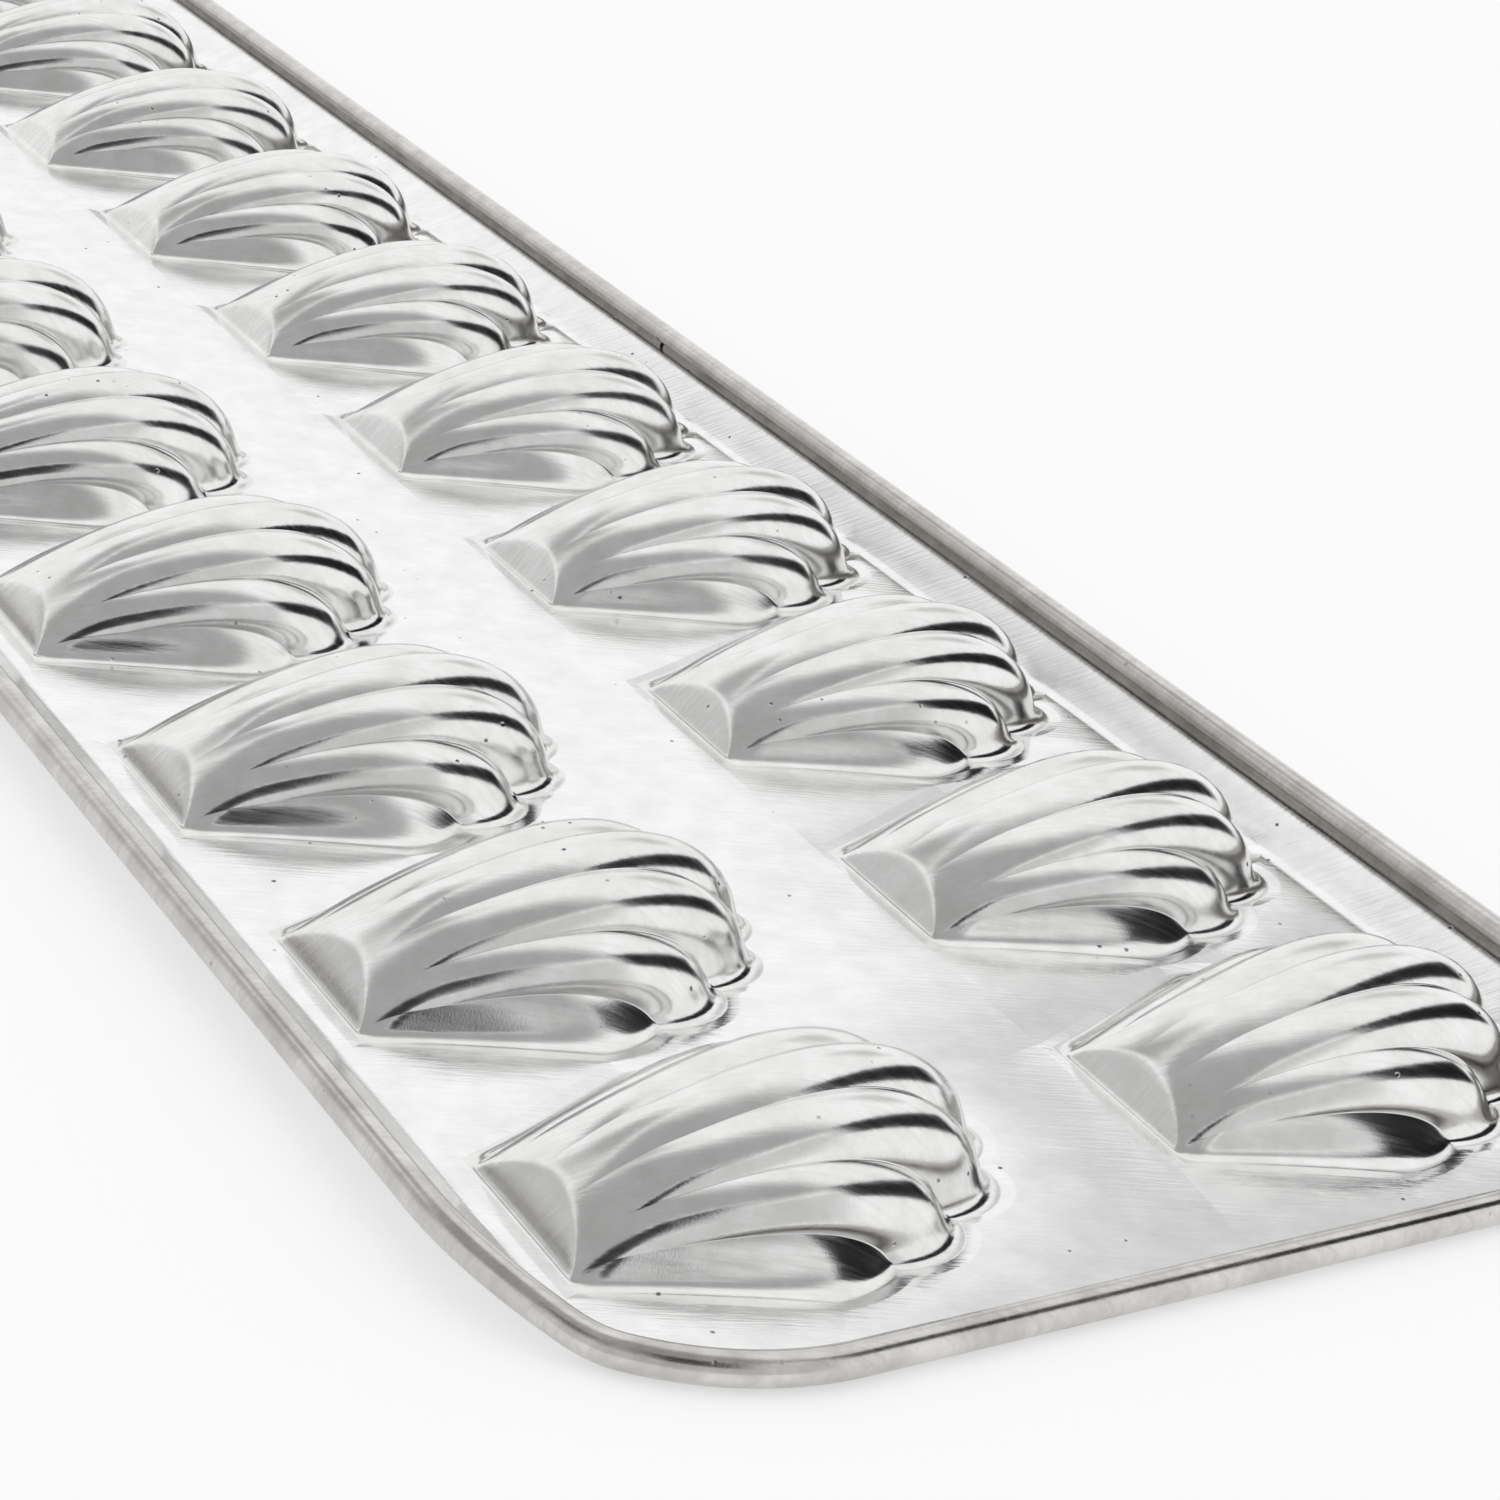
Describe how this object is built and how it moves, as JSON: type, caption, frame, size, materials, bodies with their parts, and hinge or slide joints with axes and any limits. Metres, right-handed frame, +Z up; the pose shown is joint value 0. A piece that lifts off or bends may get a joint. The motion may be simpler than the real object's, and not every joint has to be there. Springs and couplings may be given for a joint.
{
  "type": "madeleine pan",
  "caption": "Long tinplate baking pan with rows of ribbed shell-shaped cavities, bent-up long sides and an edge rolled over a wire",
  "frame": {"origin": "middle of the pan in plan, on the plane of the underside of the flat sheet, which is the side with the mouths of the cavities", "axes": "Y runs along the pan, X across it from the hinge ends of the shells towards their fans, and Z up towards the crowns of the shells. The pan lies with its mouths down, as in the picture, and is turned over for baking"},
  "size_m": [0.123, 0.396, 0.0112],
  "materials": {
    "tinplate": "bright tinplate with fine rolling grain, satin on the pressed shells",
    "rolled_rim": "tinplate rolled tight round a wire, slightly warmer and worn along the top",
    "rim_wire": "drawn steel wire, dull grey, all but hidden in the rolled edge"
  },
  "bodies": {
    "root": {"left_cavity_01": "tinplate", "left_cavity_02": "tinplate", "left_cavity_03": "tinplate", "left_cavity_04": "tinplate", "left_cavity_05": "tinplate", "left_cavity_06": "tinplate", "left_cavity_07": "tinplate", "left_cavity_08": "tinplate", "left_cavity_09": "tinplate", "left_cavity_10": "tinplate", "right_cavity_01": "tinplate", "right_cavity_02": "tinplate", "right_cavity_03": "tinplate", "right_cavity_04": "tinplate", "right_cavity_05": "tinplate", "right_cavity_06": "tinplate", "right_cavity_07": "tinplate", "right_cavity_08": "tinplate", "right_cavity_09": "tinplate", "right_cavity_10": "tinplate", "left_side_flange": "tinplate", "right_side_flange": "tinplate", "rolled_edge": "rolled_rim", "rim_wire": "rim_wire"}
  },
  "joints": []
}
